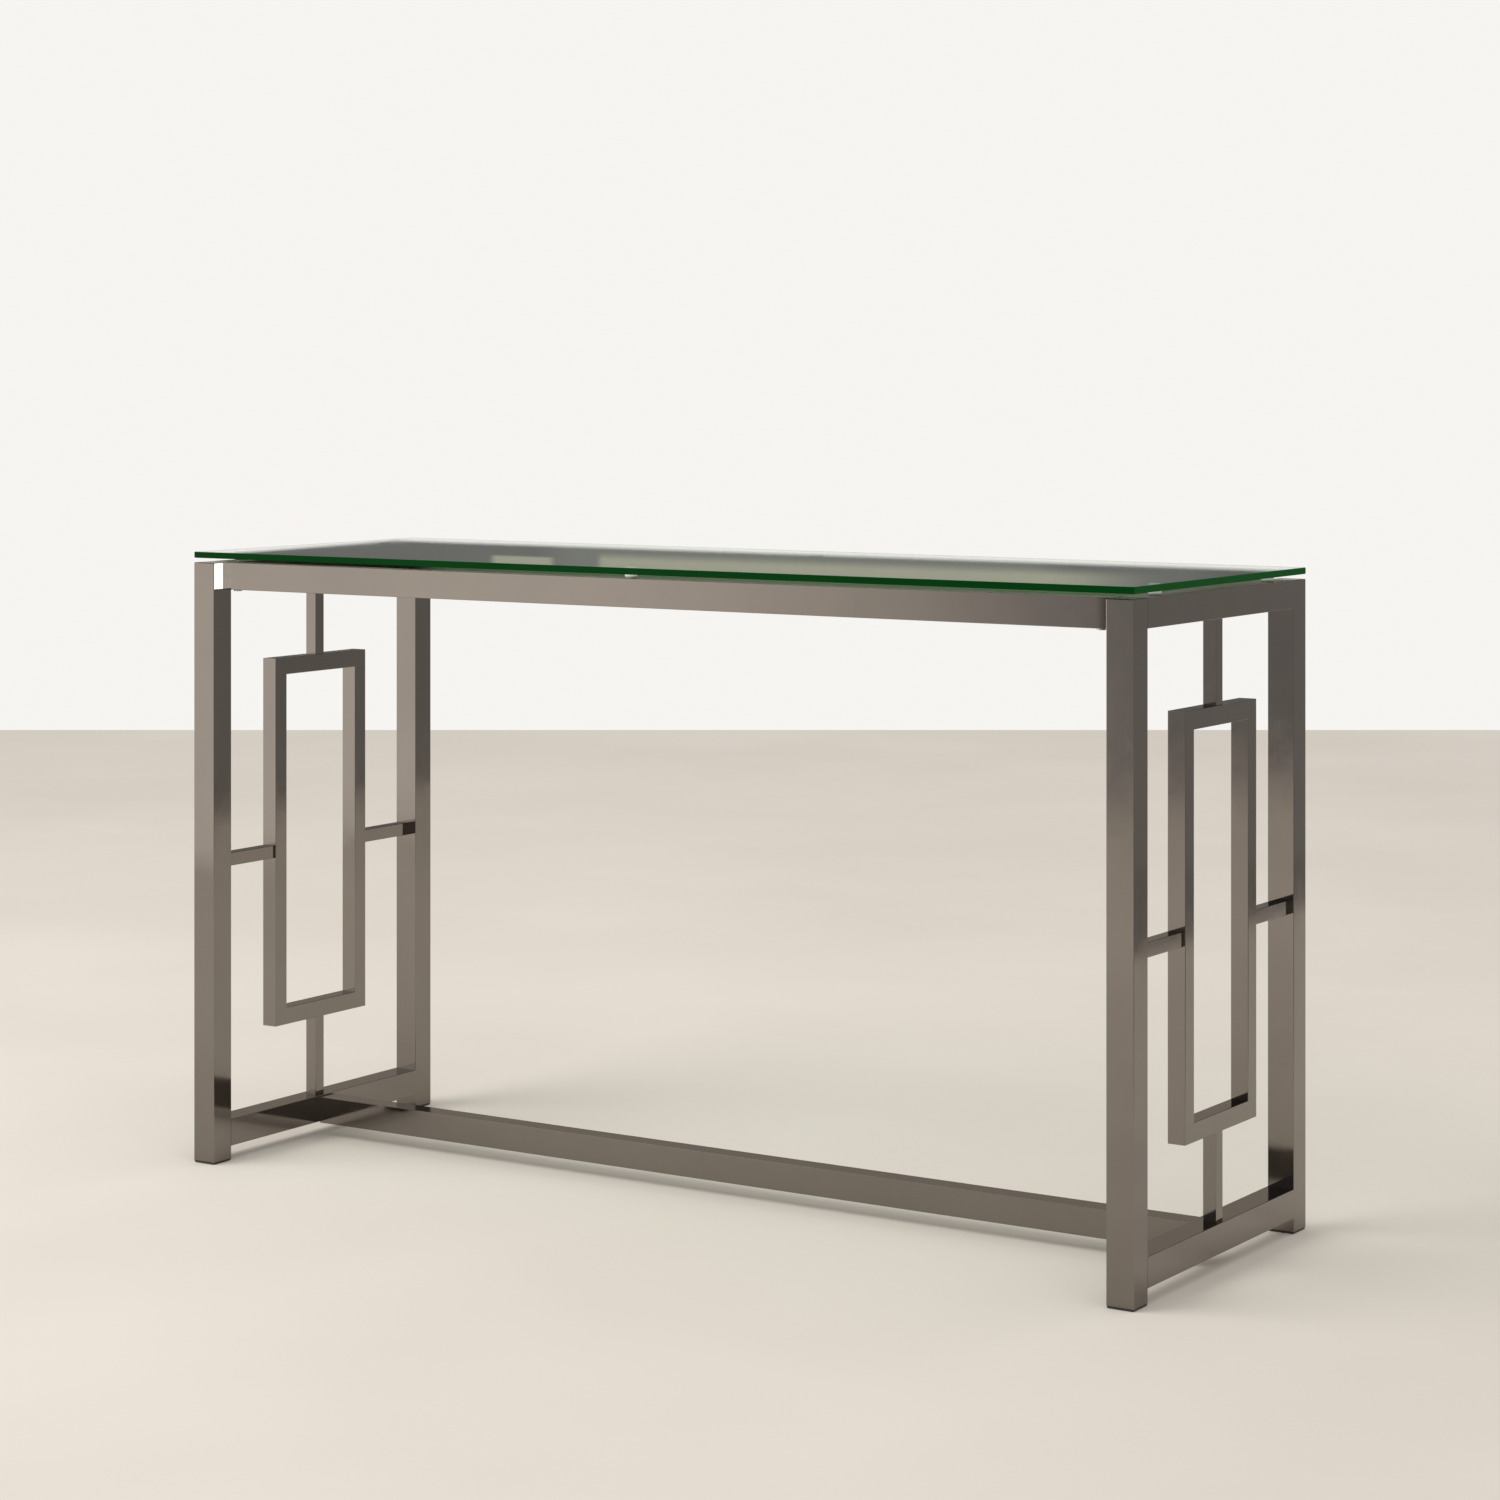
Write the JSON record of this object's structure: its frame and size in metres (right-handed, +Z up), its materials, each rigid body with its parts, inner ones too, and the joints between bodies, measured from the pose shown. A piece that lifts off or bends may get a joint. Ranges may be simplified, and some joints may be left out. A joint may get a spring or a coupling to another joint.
{
  "type": "console table",
  "caption": "Narrow console table: welded square-tube end frames with mitred rectangle ornaments, recessed top rails, low central stretcher, clear glass top on bumpers.",
  "frame": {"origin": "on the floor, under the centre of the table", "axes": "+X along the table to its right end, +Y to the back, +Z up"},
  "size_m": [1.286, 0.429, 0.749],
  "materials": {
    "dark_nickel": "polished dark nickel plate on steel tube",
    "bare_steel": "plain mill-finish steel, hidden inside the rails",
    "screw_zinc": "zinc-plated low-head socket screws",
    "foot_plastic": "moulded black plastic",
    "white_pad": "thin white plastic sheet",
    "clear_bumper": "clear soft polyurethane",
    "glass": "clear float glass, toughened, polished edges that look deep green"
  },
  "bodies": {
    "root": {"back_link_left": "dark_nickel", "back_link_right": "dark_nickel", "back_top_rail": "dark_nickel", "bumper_back_left": "clear_bumper", "bumper_back_middle": "clear_bumper", "bumper_back_right": "clear_bumper", "bumper_front_left": "clear_bumper", "bumper_front_middle": "clear_bumper", "bumper_front_right": "clear_bumper", "foot_plug_back_left": "foot_plastic", "foot_plug_back_right": "foot_plastic", "foot_plug_front_left": "foot_plastic", "foot_plug_front_right": "foot_plastic", "front_link_left": "dark_nickel", "front_link_right": "dark_nickel", "front_top_rail": "dark_nickel", "glass_top": "glass", "leg_back_left": "dark_nickel", "leg_back_right": "dark_nickel", "leg_cap_back_left": "dark_nickel", "leg_cap_back_right": "dark_nickel", "leg_cap_front_left": "dark_nickel", "leg_cap_front_right": "dark_nickel", "leg_front_left": "dark_nickel", "leg_front_right": "dark_nickel", "low_side_rail_left": "dark_nickel", "low_side_rail_right": "dark_nickel", "lower_post_left": "dark_nickel", "lower_post_right": "dark_nickel", "ornament_back_upright_left": "dark_nickel", "ornament_back_upright_right": "dark_nickel", "ornament_bottom_bar_left": "dark_nickel", "ornament_bottom_bar_right": "dark_nickel", "ornament_front_upright_left": "dark_nickel", "ornament_front_upright_right": "dark_nickel", "ornament_top_bar_left": "dark_nickel", "ornament_top_bar_right": "dark_nickel", "rail_pad_back_left": "white_pad", "rail_pad_back_right": "white_pad", "rail_pad_front_left": "white_pad", "rail_pad_front_right": "white_pad", "rail_screws": "screw_zinc", "rail_spigot_back_left": "bare_steel", "rail_spigot_back_right": "bare_steel", "rail_spigot_front_left": "bare_steel", "rail_spigot_front_right": "bare_steel", "stretcher": "dark_nickel", "stretcher_spigot_left": "bare_steel", "stretcher_spigot_right": "bare_steel", "top_side_rail_left": "dark_nickel", "top_side_rail_right": "dark_nickel", "upper_post_left": "dark_nickel", "upper_post_right": "dark_nickel"}
  },
  "joints": []
}
